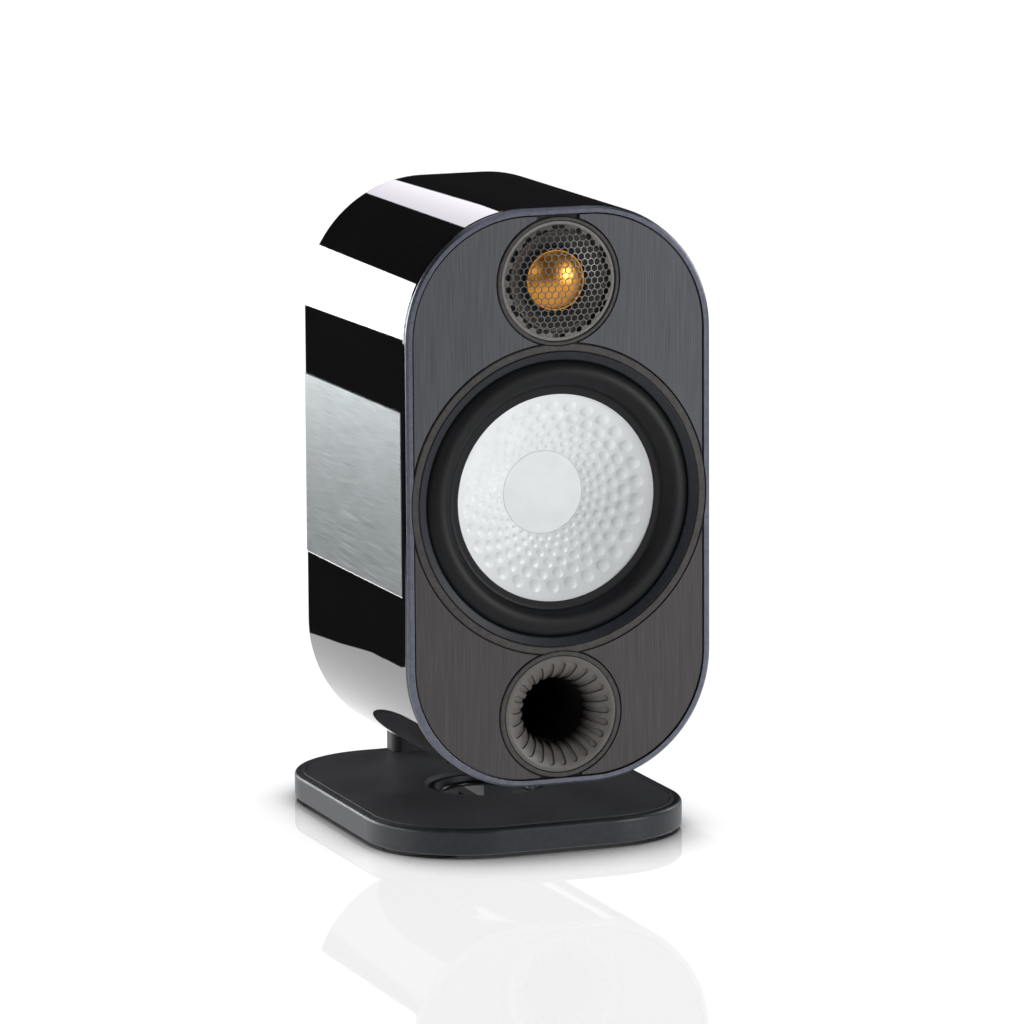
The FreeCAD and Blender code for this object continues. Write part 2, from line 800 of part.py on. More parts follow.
def tweeter_dome():
    t = dome_thickness
    rise = dome_rise
    radius = (dome_radius ** 2 + rise ** 2) / (2 * rise)
    half = math.asin(dome_radius / radius) / 2
    apex = dome_depth - rise
    middle = (radius * math.sin(half), apex + radius * (1 - math.cos(half)))
    outline = [(dome_radius, dome_depth), (middle, (0.0, apex)), (0.0, apex + t),
               ((middle[0], middle[1] + t), (dome_radius, dome_depth + t)),
               (dome_radius + dome_flange, dome_depth + t)]
    save("tweeter_dome", spun((dome_radius + dome_flange, dome_depth), outline, tweeter_height))


def tweeter_surround():
    t = tweeter_surround_thickness
    inner = dome_radius + dome_flange + 0.05
    start = inner + 0.2
    finish = inner + tweeter_surround_width
    middle = (start + finish) / 2
    outer = finish + tweeter_surround_land
    crest = dome_depth - tweeter_surround_rise
    outline = [(inner, dome_depth), (start, dome_depth), ((middle, crest), (finish, dome_depth)),
               (outer, dome_depth), (outer, dome_depth + t), (finish, dome_depth + t),
               ((middle, crest + t), (start, dome_depth + t))]
    save("tweeter_surround", spun((inner, dome_depth + t), outline, tweeter_height))


def tweeter_motor():
    coil_outer = dome_radius
    coil_inner = coil_outer - tweeter_coil_wall
    coil_front = dome_depth + dome_thickness
    save("tweeter_voice_coil",
         annulus(coil_outer, coil_inner, coil_front, coil_front + tweeter_coil_length, tweeter_height))
    plate_front = faceplate_back()
    plate_back = plate_front + tweeter_top_plate_thickness
    magnet_back = plate_back + tweeter_magnet_thickness
    yoke_back = magnet_back + tweeter_yoke_thickness
    motor = tweeter_motor_radius
    save("tweeter_top_plate",
         annulus(motor, coil_outer + tweeter_gap, plate_front, plate_back, tweeter_height))
    save("tweeter_magnet", annulus(motor, tweeter_magnet_inner, plate_back, magnet_back, tweeter_height))
    pole = coil_inner - tweeter_gap
    outline = [(0.0, plate_front), (pole, plate_front), (pole, magnet_back), (motor, magnet_back), (motor, yoke_back)]
    save("tweeter_yoke", spun((0.0, yoke_back), outline, tweeter_height))


def tweeter_screws():
    screws = []
    for x, height in tweeter_screw_places():
        screws.append(screw_along(at(x, waveguide_groove, tweeter_height + height), ALONG_Y, thread_radius,
                                  screw_length - 1.5, 1.65, 1.2))
    save("tweeter_screws", *screws)


# ---------------------------------------------------------------- bass port

def flare_back():
    return flare_front + flare_depth


def port_parts():
    inner = port_radius
    outer = port_radius + port_wall
    rim = port_ring_inner - trim_clearance
    flange = small_ring_outer - trim_clearance * 2
    width = flare_radius - inner
    bend = math.sqrt(0.5)
    middle = (flare_radius - width * bend, flare_back() - flare_depth * bend)
    seat = baffle_front
    step_back = seat + flare_flange_thickness
    outline = [(flare_radius, flare_front), (middle, (inner, flare_back())), (outer, flare_back()),
               (outer, flare_back() - 3.0), (flare_radius - 1.0, step_back + 1.0), (flare_radius - 1.0, step_back),
               (flange, step_back), (flange, seat), (rim, seat)]
    save("port_flare", spun((rim, flare_front), outline, port_height))
    save("port_tube", annulus(outer, inner, flare_back(), flare_back() + port_tube_length, port_height))


# ---------------------------------------------------------------- crossover and lining

def crossover():
    outer_x = cabinet_width / 2 - wall - board_wall_gap
    inner_x = outer_x - board_thickness
    front = board_depth
    back = front + board_width
    low = board_height_centre - board_height / 2
    high = low + board_height
    board = box(inner_x, outer_x, front, back, low, high)
    posts = []
    for depth in (front + standoff_inset, back - standoff_inset):
        for height in (low + standoff_inset, high - standoff_inset):
            posts.append(Part.makeCylinder(standoff_radius, board_wall_gap, at(outer_x, depth, height), Vector(1, 0, 0)))
    save("crossover_board", board)
    save("crossover_standoffs", *posts)
    middle = (front + back) / 2
    coils = []
    for height in (low + inductor_radius + 3.0, high - inductor_radius - 3.0):
        place = at(inner_x - inductor_length, middle - 8.0, height)
        coil = Part.makeCylinder(inductor_radius, inductor_length, place, Vector(1, 0, 0))
        bore = Part.makeCylinder(inductor_bore, inductor_length, place, Vector(1, 0, 0))
        coils.append(coil.cut(bore))
    save("crossover_inductors", *coils)
    capacitors = []
    for depth in (middle - 6.0, middle + 10.0):
        place = at(inner_x - capacitor_radius, depth, -capacitor_length / 2 + board_height_centre)
        capacitors.append(Part.makeCylinder(capacitor_radius, capacitor_length, place, UP))
    save("crossover_capacitors", *capacitors)
    resistors = []
    for height in (low + 6.0, high - 6.0 - resistor_length):
        resistors.append(box(inner_x - resistor_size, inner_x, back - 6.0 - resistor_size, back - 6.0,
                             height, height + resistor_length))
    save("crossover_resistors", *resistors)


def damping_foam():
    outer_x = -(cabinet_width / 2 - wall)
    foam = box(outer_x, outer_x + foam_thickness, board_depth, board_depth + foam_length,
               -foam_height / 2, foam_height / 2)
    save("damping_foam", foam)


# ---------------------------------------------------------------- terminals

def terminal_opening(grow, front, back):
    """The terminal cup's rounded body outline, grown outward, between two depths."""
    return rounded_block(cup_width + 2 * grow, cup_height + 2 * grow, cup_corner + grow,
                         at(0, front, terminal_height), Vector(1, 0, 0), UP, Vector(0, back - front, 0))


def cup_screw_places():
    x = cup_width / 2 + cup_flange / 2
    height = cup_height / 2 + cup_flange / 2
    return [(sx * (x - cup_screw_inset), terminal_height + sh * (height - cup_screw_inset))
            for sx in (1, -1) for sh in (1, -1)]


def cup_floor():
    return rear_panel_back + cup_flange_thickness - cup_depth


def terminal_cup():
    rim_back = rear_panel_back + cup_flange_thickness
    cup = terminal_opening(cup_flange, rear_panel_back, rim_back)
    cup = cup.fuse(terminal_opening(0, cup_floor() - cup_wall, rear_panel_back))
    cup = cup.removeSplitter().cut(terminal_opening(-cup_wall, cup_floor(), rim_back + cut_over))
    for x, height in cup_screw_places():
        cup = cup.cut(disc(screw_radius + 0.15, rear_panel_back - cut_over, rim_back + cut_over, height, x))
    for side in (-1, 1):
        x = side * post_spacing / 2
        cup = cup.cut(disc(stud_radius + 0.15, cup_floor() - cup_wall - cut_over, cup_floor() + cut_over,
                           terminal_height, x))
    save("terminal_cup", cup)


def post_parts():
    studs = []
    nuts = []
    for side, colour in ((-1, "black"), (1, "red")):
        x = side * post_spacing / 2
        floor = cup_floor()
        inside = floor - cup_wall - terminal_nut_thickness - 3.0
        stud = disc(stud_radius, inside, floor + stud_length, terminal_height, x)
        collar = disc(stud_collar_radius, floor, floor + stud_collar_length, terminal_height, x)
        stud = stud.fuse(collar).removeSplitter()
        socket_front = floor + stud_length - stud_socket_depth
        studs.append(stud.cut(disc(stud_socket_radius, socket_front, floor + stud_length + cut_over,
                                   terminal_height, x)))
        nut_back = floor - cup_wall
        nut = annulus(terminal_nut_radius, stud_radius, nut_back - terminal_nut_thickness, nut_back,
                      terminal_height, x)
        nuts.append(nut)
        washer_front = floor + stud_collar_length
        cap_front = washer_front + post_washer_thickness
        save("terminal_washer_" + colour, annulus(stud_collar_radius, stud_radius + post_running_gap,
                                                  washer_front, cap_front, terminal_height, x))
        cap = annulus(post_cap_radius, stud_radius + post_running_gap, cap_front, cap_front + post_cap_length,
                      terminal_height, x)
        for dx, dh in around(post_flutes, post_cap_radius + post_flute_radius * 0.4):
            cap = cap.cut(disc(post_flute_radius, cap_front - cut_over, cap_front + post_cap_length + cut_over,
                               terminal_height + dh, x + dx))
        save("terminal_cap_" + colour, cap)
    save("terminal_studs", *studs)
    save("terminal_nuts", *nuts)


# ---------------------------------------------------------------- stand

def neck_bolt_places():
    half = neck_bolt_spacing / 2
    reach = neck_tall / 2 + neck_flange / 2
    return [(sx * half, neck_height + sh * reach) for sx in (1, -1) for sh in (1, -1)]


def arm_bolt_places():
    return [(0, neck_height + neck_tall / 4), (0, neck_height - neck_tall / 4)]


def mount_backing_plate():
    plate = box(-backing_width / 2, backing_width / 2, rear_panel_front - backing_thickness, rear_panel_front,
                neck_height - backing_height / 2, neck_height + backing_height / 2)
    for x, height in neck_bolt_places():
        plate = plate.cut(disc(bolt_radius, 0, cabinet_depth, height, x))
    save("mount_backing_plate", plate)


def neck_bracket():
    front = rear_panel_back
    body = box(-neck_width / 2, neck_width / 2, front, arm_front, neck_height - neck_tall / 2,
               neck_height + neck_tall / 2)
    body = body.makeFillet(neck_wall, [edge for edge in body.Edges if abs(edge.BoundBox.YLength) > arm_front_gap])
    flange_tall = neck_tall / 2 + neck_flange
    flange = box(-neck_width / 2 - 1.0, neck_width / 2 + 1.0, front, front + neck_flange_thickness,
                 neck_height - flange_tall, neck_height + flange_tall)
    flange = flange.makeFillet(neck_wall / 2, [edge for edge in flange.Edges
                                               if abs(edge.BoundBox.YLength - neck_flange_thickness) < 0.01])
    body = body.fuse(flange).removeSplitter()
    for x, height in neck_bolt_places():
        body = body.cut(disc(bolt_radius + 0.15, front - cut_over, front + neck_flange_thickness + cut_over, height, x))
    for x, height in arm_bolt_places():
        body = body.cut(disc(bolt_radius, arm_front - neck_wall * 3, arm_front + cut_over, height, x))
    save("neck_bracket", body)


def neck_bolts():
    bolts = []
    for x, height in neck_bolt_places():
        place = at(x, rear_panel_back + neck_flange_thickness, height)
        length = neck_flange_thickness + rear_panel_thickness + backing_thickness + 2.0
        bolts.append(screw_along(place, ALONG_Y * -1, bolt_radius - 0.2, length, bolt_head_radius - 0.6,
                                 bolt_head_height))
    save("neck_bolts", *bolts)


def arm_foot_bottom():
    return foot_height + base_thickness / 2


def stand_arm():
    top = cabinet_z + neck_height + arm_top_above_neck
    centre_y = face_y + arm_front + arm_thickness / 2
    arm = rounded_block(arm_width, arm_thickness, arm_corner, Vector(0, centre_y, arm_foot_bottom()),
                        Vector(1, 0, 0), ALONG_Y, Vector(0, 0, top - arm_foot_bottom()))
    arm = arm.makeFillet(arm_corner / 2, edges_at(arm, "Z", top))
    back = arm_front + arm_thickness
    for x, height in arm_bolt_places():
        arm = arm.cut(disc(bolt_radius + 0.15, arm_front - cut_over, back + cut_over, height, x))
        arm = arm.cut(disc(bolt_head_radius + 0.3, back - bolt_head_height - 0.5, back + cut_over, height, x))
    for x in arm_foot_bolt_places():
        hole = Part.makeCylinder(bolt_radius, 14.0, Vector(x, centre_y, arm_foot_bottom() - cut_over), UP)
        arm = arm.cut(hole)
    save("stand_arm", arm)


def arm_bolts():
    bolts = []
    seat = arm_front + arm_thickness - bolt_head_height - 0.5
    for x, height in arm_bolt_places():
        bolts.append(screw_along(at(x, seat, height), ALONG_Y * -1, bolt_radius - 0.2,
                                 seat - arm_front + neck_wall * 2, bolt_head_radius, bolt_head_height))
    save("arm_bolts", *bolts)


def arm_foot_bolt_places():
    return (-arm_width / 3, arm_width / 3)


def arm_socket(grow, low, high):
    centre_y = face_y + arm_front + arm_thickness / 2
    return rounded_block(arm_width + 2 * grow, arm_thickness + 2 * grow, arm_corner + grow,
                         Vector(0, centre_y, low), Vector(1, 0, 0), ALONG_Y, Vector(0, 0, high - low))


def foot_places():
    return [(sx * foot_inset_x, stand_y + sy * foot_inset_y) for sx in (1, -1) for sy in (1, -1)]


def upright(radius, low, high, x=0.0, y=None):
    """A cylinder along Z between two heights above the floor."""
    return Part.makeCylinder(radius, high - low, Vector(x, stand_y if y is None else y, low), UP)


def base_plate():
    plate = base_block(0, foot_height, base_top)
    plate = plate.makeFillet(base_edge_round, edges_at(plate, "Z", base_top))
    plate = plate.makeFillet(base_edge_round / 2, edges_at(plate, "Z", foot_height))
    plate = plate.cut(base_block(mat_edge, base_top - mat_recess, base_top + cut_over))
    ring_floor = base_top - cable_ring_depth - cable_ring_thickness
    plate = plate.cut(upright(cable_ring_radius + trim_clearance, ring_floor, base_top + cut_over))
    plate = plate.cut(upright(cable_well_radius, 0, base_top))
    notch = Part.makeBox(cable_notch_width, base_depth, cable_notch_height + cut_over,
                         Vector(-cable_notch_width / 2, stand_y, foot_height - cut_over))
    plate = plate.cut(notch)
    plate = plate.cut(arm_socket(panel_clearance, arm_foot_bottom(), base_top + cut_over))
    centre_y = face_y + arm_front + arm_thickness / 2
    for x in arm_foot_bolt_places():
        plate = plate.cut(upright(bolt_radius + 0.15, 0, arm_foot_bottom() + cut_over, x, centre_y))
        plate = plate.cut(upright(bolt_head_radius + 0.3, 0, foot_height + bolt_head_height + 0.5, x, centre_y))
    for x, y in foot_places():
        plate = plate.cut(upright(foot_radius + trim_clearance, 0, foot_height + foot_socket, x, y))
    save("base_plate", plate)


def base_mat():
    low = base_top - mat_recess
    high = low + mat_thickness
    mat = base_block(mat_edge + trim_clearance, low, high)
    groove_out = base_block(mat_edge + mat_groove_inset, high - mat_groove_depth, high + cut_over)
    groove_in = base_block(mat_edge + mat_groove_inset + mat_groove_width, high - mat_groove_depth - cut_over,
                           high + 2 * cut_over)
    mat = mat.cut(groove_out.cut(groove_in))
    rim = Part.makeCone(cable_well_rim - mat_thickness - cut_over, cable_well_rim, mat_thickness + cut_over,
                        Vector(0, stand_y, low - cut_over), UP)
    mat = mat.cut(rim)
    mat = mat.cut(arm_socket(arm_foot_gap, low - cut_over, high + cut_over))
    save("base_mat", mat)


def cable_port_ring():
    low = base_top - cable_ring_depth - cable_ring_thickness
    outline_top = low + cable_ring_thickness
    ring = upright(cable_ring_radius, low, outline_top).cut(upright(cable_well_radius, 0, base_top))
    inner_edges = [edge for edge in edges_at(ring, "Z", outline_top)
                   if abs(edge.BoundBox.XLength - 2 * cable_well_radius) < 0.01]
    save("cable_port_ring", ring.makeFillet(cable_ring_thickness * 0.6, inner_edges))


def foot_pads():
    pads = []
    for x, y in foot_places():
        pad = upright(foot_radius, 0, foot_height + foot_socket, x, y)
        pads.append(pad.makeFillet(0.5, edges_at(pad, "Z", 0)))
    save("foot_pads", *pads)


def arm_foot_bolts():
    centre_y = face_y + arm_front + arm_thickness / 2
    bolts = []
    seat = foot_height + bolt_head_height + 0.5
    for x in arm_foot_bolt_places():
        bolts.append(screw_along(Vector(x, centre_y, seat), UP, bolt_radius - 0.2,
                                 arm_foot_bottom() - seat + 10.0, bolt_head_radius, bolt_head_height))
    save("arm_foot_bolts", *bolts)


def build():
    os.makedirs("parts", exist_ok=True)
    cabinet_shell()
    side_panel("side_panel_left", -1)
    side_panel("side_panel_right", 1)
    rear_panel()
    panel_screws()
    front_baffle()
    baffle_gasket()
    baffle_bezel()
    trim_plates()
    front_rings()
    woofer_clamp_ring()
    woofer_surround()
    woofer_cone()
    woofer_voice_coil()
    woofer_spider()
    woofer_basket()
    woofer_motor()
    woofer_screws()
    tweeter_grille()
    tweeter_faceplate()
    tweeter_dome()
    tweeter_surround()
    tweeter_motor()
    tweeter_screws()
    port_parts()
    crossover()
    damping_foam()
    terminal_cup()
    post_parts()
    mount_backing_plate()
    neck_bracket()
    neck_bolts()
    stand_arm()
    arm_bolts()
    base_plate()
    base_mat()
    cable_port_ring()
    foot_pads()
    arm_foot_bolts()


build()
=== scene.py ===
import math

import bpy
import numpy as np
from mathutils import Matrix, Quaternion, Vector


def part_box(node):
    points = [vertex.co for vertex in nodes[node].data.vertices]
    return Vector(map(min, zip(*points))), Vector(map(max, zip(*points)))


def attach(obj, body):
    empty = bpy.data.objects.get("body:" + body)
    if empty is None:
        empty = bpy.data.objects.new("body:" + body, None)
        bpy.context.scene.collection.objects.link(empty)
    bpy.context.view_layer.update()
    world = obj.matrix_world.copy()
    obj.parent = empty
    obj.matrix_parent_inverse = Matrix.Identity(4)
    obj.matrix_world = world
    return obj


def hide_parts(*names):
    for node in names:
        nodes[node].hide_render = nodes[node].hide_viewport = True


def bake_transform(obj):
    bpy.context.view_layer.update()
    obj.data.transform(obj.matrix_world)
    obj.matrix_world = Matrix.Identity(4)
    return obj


# Looks of a bookshelf loudspeaker on a desktop stand. The object's lengths below are in millimetres, and
# "depth" runs back from the cabinet's front face. The stage, lights and camera are placed in metres.

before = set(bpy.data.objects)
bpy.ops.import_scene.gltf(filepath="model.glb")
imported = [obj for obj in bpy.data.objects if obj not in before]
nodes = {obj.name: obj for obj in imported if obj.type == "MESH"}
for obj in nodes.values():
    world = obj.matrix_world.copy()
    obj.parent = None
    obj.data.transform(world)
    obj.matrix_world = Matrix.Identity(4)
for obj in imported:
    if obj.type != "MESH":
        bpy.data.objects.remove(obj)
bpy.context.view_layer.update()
MM = 0.001

FACE_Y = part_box("baffle_bezel")[0].y / MM


def axis_height(node):
    """Height above the floor of a round front piece's axis."""
    low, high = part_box(node)
    return (low.z + high.z) / 2 / MM


WOOFER_Z = axis_height("woofer_clamp_ring")
TWEETER_Z = axis_height("tweeter_grille")
PORT_Z = axis_height("port_flare")


# ---------------------------------------------------------------- materials

def link(tree, source, target):
    tree.links.new(source, target)


def node(tree, kind, **values):
    """A new shader node; each value goes to the socket of that name, or else to the property."""
    made = tree.nodes.new("ShaderNode" + kind)
    for key, value in values.items():
        if key in made.inputs:
            made.inputs[key].default_value = value
        else:
            setattr(made, key, value)
    return made


def rgb(red, green, blue):
    """A colour as seen on screen, 0 to 255, turned to linear light."""
    linear = []
    for value in (red, green, blue):
        share = value / 255
        linear.append(share / 12.92 if share <= 0.04045 else ((share + 0.055) / 1.055) ** 2.4)
    return (*linear, 1.0)


def noise(tree, cells, detail=3.0):
    """Noise whose cells measure cells millimetres along X, Y and Z."""
    coordinates = node(tree, "TexCoord")
    mapping = node(tree, "Mapping")
    mapping.inputs["Scale"].default_value = [1 / (size * MM) for size in cells]
    texture = node(tree, "TexNoise")
    texture.inputs["Scale"].default_value = 1.0
    texture.inputs["Detail"].default_value = detail
    texture.inputs["Roughness"].default_value = 0.55
    link(tree, coordinates.outputs["Object"], mapping.inputs["Vector"])
    link(tree, mapping.outputs["Vector"], texture.inputs["Vector"])
    return texture.outputs["Fac"]


def spread(tree, source, low, high, start=0.3, end=0.7):
    """Map a 0 to 1 source, over the part of it that carries the pattern, to low..high."""
    ramp = node(tree, "MapRange")
    ramp.inputs["From Min"].default_value = start
    ramp.inputs["From Max"].default_value = end
    ramp.inputs["To Min"].default_value = low
    ramp.inputs["To Max"].default_value = high
    link(tree, source, ramp.inputs["Value"])
    return ramp.outputs["Result"]


def colour_sockets(mix):
    """The colour inputs and output of a Mix node set to RGBA."""
    return mix.inputs[6], mix.inputs[7], mix.outputs[2]


def tint(tree, factor, first, second):
    """A colour between two, by a 0 to 1 factor."""
    mix = node(tree, "Mix", data_type="RGBA")
    socket_a, socket_b, result = colour_sockets(mix)
    socket_a.default_value = first
    socket_b.default_value = second
    link(tree, factor, mix.inputs[0])
    return result


def surface(name, dark, light, rough, metallic=0.0, cells=(1.0, 1.0, 1.0), bump=0.2, bump_mm=0.02,
            bevel_mm=0.0, coat=0.0, coat_rough=0.05, specular=0.5, colour_cells=None, sheen=0.0,
            anisotropic=0.0):
    """A Principled material whose colour, roughness and bump follow noise of the given cell size."""
    material = bpy.data.materials.new(name)
    material.use_nodes = True
    tree = material.node_tree
    tree.nodes.clear()
    output = node(tree, "OutputMaterial")
    shader = node(tree, "BsdfPrincipled")
    link(tree, shader.outputs["BSDF"], output.inputs["Surface"])
    fine = noise(tree, cells)
    wide = noise(tree, colour_cells or [size * 6 for size in cells], 2.0)
    link(tree, tint(tree, spread(tree, wide, 0.0, 1.0, 0.35, 0.65), dark, light), shader.inputs["Base Color"])
    link(tree, spread(tree, fine, rough[0], rough[1]), shader.inputs["Roughness"])
    shader.inputs["Metallic"].default_value = metallic
    shader.inputs["Coat Weight"].default_value = coat
    shader.inputs["Coat Roughness"].default_value = coat_rough
    shader.inputs["Specular IOR Level"].default_value = specular
    shader.inputs["Sheen Weight"].default_value = sheen
    shader.inputs["Anisotropic"].default_value = anisotropic
    relief = node(tree, "Bump")
    relief.inputs["Strength"].default_value = bump
    relief.inputs["Distance"].default_value = bump_mm * MM
    link(tree, fine, relief.inputs["Height"])
    if bevel_mm:
        edge = node(tree, "Bevel")
        edge.samples = 4
        edge.inputs["Radius"].default_value = bevel_mm * MM
        link(tree, edge.outputs["Normal"], relief.inputs["Normal"])
    link(tree, relief.outputs["Normal"], shader.inputs["Normal"])
    if coat:
        link(tree, relief.outputs["Normal"], shader.inputs["Coat Normal"])
    return material, tree, shader


FINE_ALONG_Z = (0.16, 0.16, 34.0)
FINE_ALONG_Y = (0.2, 30.0, 0.16)
GRAIN = (0.35, 0.35, 0.35)


def build_materials():
    """Every finish but the port mouth's, by name."""
    made = {}

    def add(name, *args, **kwargs):
        made[name] = surface(name, *args, **kwargs)[0]

    add("gloss_lacquer", rgb(6, 6, 7), rgb(9, 9, 10), (0.02, 0.035), cells=(9, 9, 9), bump=0.012,
        bump_mm=0.05, bevel_mm=0.8, coat=1.0, coat_rough=0.01, specular=0.6)
    add("satin_black", rgb(20, 20, 21), rgb(27, 27, 28), (0.42, 0.55), cells=GRAIN, bump=0.25,
        bevel_mm=0.3)
    add("brushed_silver", rgb(176, 183, 184), rgb(194, 201, 202), (0.27, 0.38), metallic=1.0,
        cells=FINE_ALONG_Y, colour_cells=(0.22, 17.0, 0.22), bump=0.16, bump_mm=0.01,
        anisotropic=0.5)
    add("brushed_graphite", rgb(72, 73, 77), rgb(86, 87, 91), (0.34, 0.52), metallic=0.85,
        cells=FINE_ALONG_Z, colour_cells=(0.28, 0.28, 26.0), bump=0.3, bump_mm=0.01, bevel_mm=0.12)
    add("brushed_bronze", rgb(67, 64, 65), rgb(79, 76, 77), (0.34, 0.52), metallic=0.85,
        cells=FINE_ALONG_Z, colour_cells=(0.28, 0.28, 26.0), bump=0.3, bump_mm=0.01, bevel_mm=0.12)
    add("board_black", rgb(9, 9, 10), rgb(14, 14, 15), (0.6, 0.8), cells=GRAIN)
    add("foam_rubber", rgb(24, 24, 25), rgb(33, 33, 34), (0.8, 0.95), cells=(0.8, 0.8, 0.8),
        bump=0.6, bump_mm=0.1)
    add("bezel_satin", rgb(94, 97, 108), rgb(105, 108, 119), (0.28, 0.36), metallic=0.9,
        cells=(0.3, 0.3, 0.3), bump=0.06, bump_mm=0.01, bevel_mm=0.25)
    add("ring_satin", rgb(62, 60, 59), rgb(71, 69, 68), (0.36, 0.46), metallic=0.7,
        cells=(0.3, 0.3, 0.3), bump=0.1, bump_mm=0.01, bevel_mm=0.15)
    add("clamp_satin", rgb(22, 25, 31), rgb(29, 32, 39), (0.38, 0.48), cells=(0.3, 0.3, 0.3),
        bump=0.1, bump_mm=0.01, bevel_mm=0.2, specular=0.3)
    add("grille_paint", rgb(104, 102, 100), rgb(116, 114, 112), (0.38, 0.5), metallic=0.5,
        cells=(0.3, 0.3, 0.3), bump=0.12, bump_mm=0.01, bevel_mm=0.18)
    add("faceplate_plastic", rgb(52, 50, 49), rgb(62, 60, 59), (0.4, 0.5), cells=GRAIN, bump=0.15)
    add("gold_dome", rgb(244, 166, 66), rgb(252, 178, 82), (0.3, 0.38), metallic=1.0,
        cells=(0.6, 0.6, 0.6), bump=0.05, bump_mm=0.01)
    add("surround_rubber", rgb(7, 8, 10), rgb(11, 12, 15), (0.45, 0.56), cells=(0.4, 0.4, 0.4),
        bump=0.18, bump_mm=0.02, colour_cells=(9, 9, 9), specular=0.25)
    add("coil_copper", rgb(176, 96, 52), rgb(196, 116, 70), (0.25, 0.4), metallic=1.0,
        cells=(4.0, 0.14, 4.0), bump=0.7, bump_mm=0.08)
    add("plated_steel", rgb(150, 150, 148), rgb(172, 172, 170), (0.24, 0.4), metallic=1.0,
        cells=GRAIN, bump=0.12)
    add("magnet_ferrite", rgb(46, 45, 46), rgb(58, 57, 58), (0.5, 0.7), cells=GRAIN, bump=0.4,
        bump_mm=0.04)
    add("screw_black", rgb(28, 28, 30), rgb(38, 38, 40), (0.3, 0.42), metallic=0.8,
        cells=(0.2, 0.2, 0.2), bump=0.12, bevel_mm=0.15)
    add("cone_white", rgb(218, 221, 222), rgb(225, 228, 229), (0.36, 0.44),
        cells=(0.25, 0.25, 0.25), bump=0.05, bump_mm=0.01, colour_cells=(14, 14, 14), coat=0.25,
        coat_rough=0.32)
    add("spider_cloth", rgb(196, 158, 84), rgb(214, 178, 104), (0.8, 0.95), cells=(0.5, 2.0, 0.5),
        bump=0.7, bump_mm=0.1, sheen=0.4)
    add("basket_cast", rgb(70, 72, 74), rgb(86, 88, 90), (0.45, 0.6), metallic=0.7, cells=GRAIN,
        bump=0.4)
    add("tube_plastic", rgb(16, 16, 17), rgb(22, 22, 23), (0.45, 0.6), cells=GRAIN)
    add("circuit_green", rgb(24, 76, 42), rgb(34, 92, 54), (0.35, 0.5), cells=(0.6, 0.6, 0.6),
        coat=0.4)
    add("capacitor_film", rgb(140, 44, 38), rgb(158, 58, 50), (0.3, 0.4), cells=(4.0, 4.0, 0.2),
        coat=0.3)
    add("resistor_ceramic", rgb(206, 202, 192), rgb(220, 217, 208), (0.6, 0.75), cells=GRAIN,
        bump=0.3)
    add("gold_brass", rgb(206, 166, 84), rgb(224, 186, 104), (0.16, 0.28), metallic=1.0,
        cells=GRAIN, bump=0.06, bevel_mm=0.15)
    add("cap_black", rgb(18, 18, 19), rgb(24, 24, 25), (0.25, 0.36), cells=(0.5, 0.5, 0.5),
        bump=0.08, bevel_mm=0.25)
    add("cap_red", rgb(150, 18, 20), rgb(172, 26, 27), (0.25, 0.36), cells=(0.5, 0.5, 0.5),
        bump=0.08, bevel_mm=0.25)
    add("stand_satin", rgb(30, 31, 33), rgb(38, 39, 42), (0.4, 0.5), metallic=0.3, cells=GRAIN,
        bump=0.25, bevel_mm=0.3)
    add("base_powder", rgb(27, 29, 34), rgb(34, 36, 42), (0.34, 0.48), metallic=0.1,
        cells=(0.45, 0.45, 0.45), bump=0.7, bump_mm=0.05, bevel_mm=0.2, specular=0.4)
    add("mat_rubber", rgb(49, 50, 53), rgb(56, 57, 60), (0.5, 0.62), cells=(0.3, 0.3, 0.3),
        bump=0.35, bump_mm=0.03, colour_cells=(12, 12, 12))
    # Painted shade: the cable port ring's metal is darkened to the shade of the hole under the cabinet.
    add("bright_ring", rgb(24, 24, 25), rgb(32, 32, 33), (0.22, 0.34), metallic=0.9, cells=GRAIN,
        bump=0.1, bevel_mm=0.2)
    add("foot_rubber", rgb(22, 22, 23), rgb(28, 28, 29), (0.7, 0.85), cells=GRAIN, bump=0.3)
    add("foam_lining", rgb(58, 58, 62), rgb(74, 74, 78), (0.85, 0.98), cells=(0.7, 0.7, 0.7),
        bump=0.8, bump_mm=0.3)
    return made


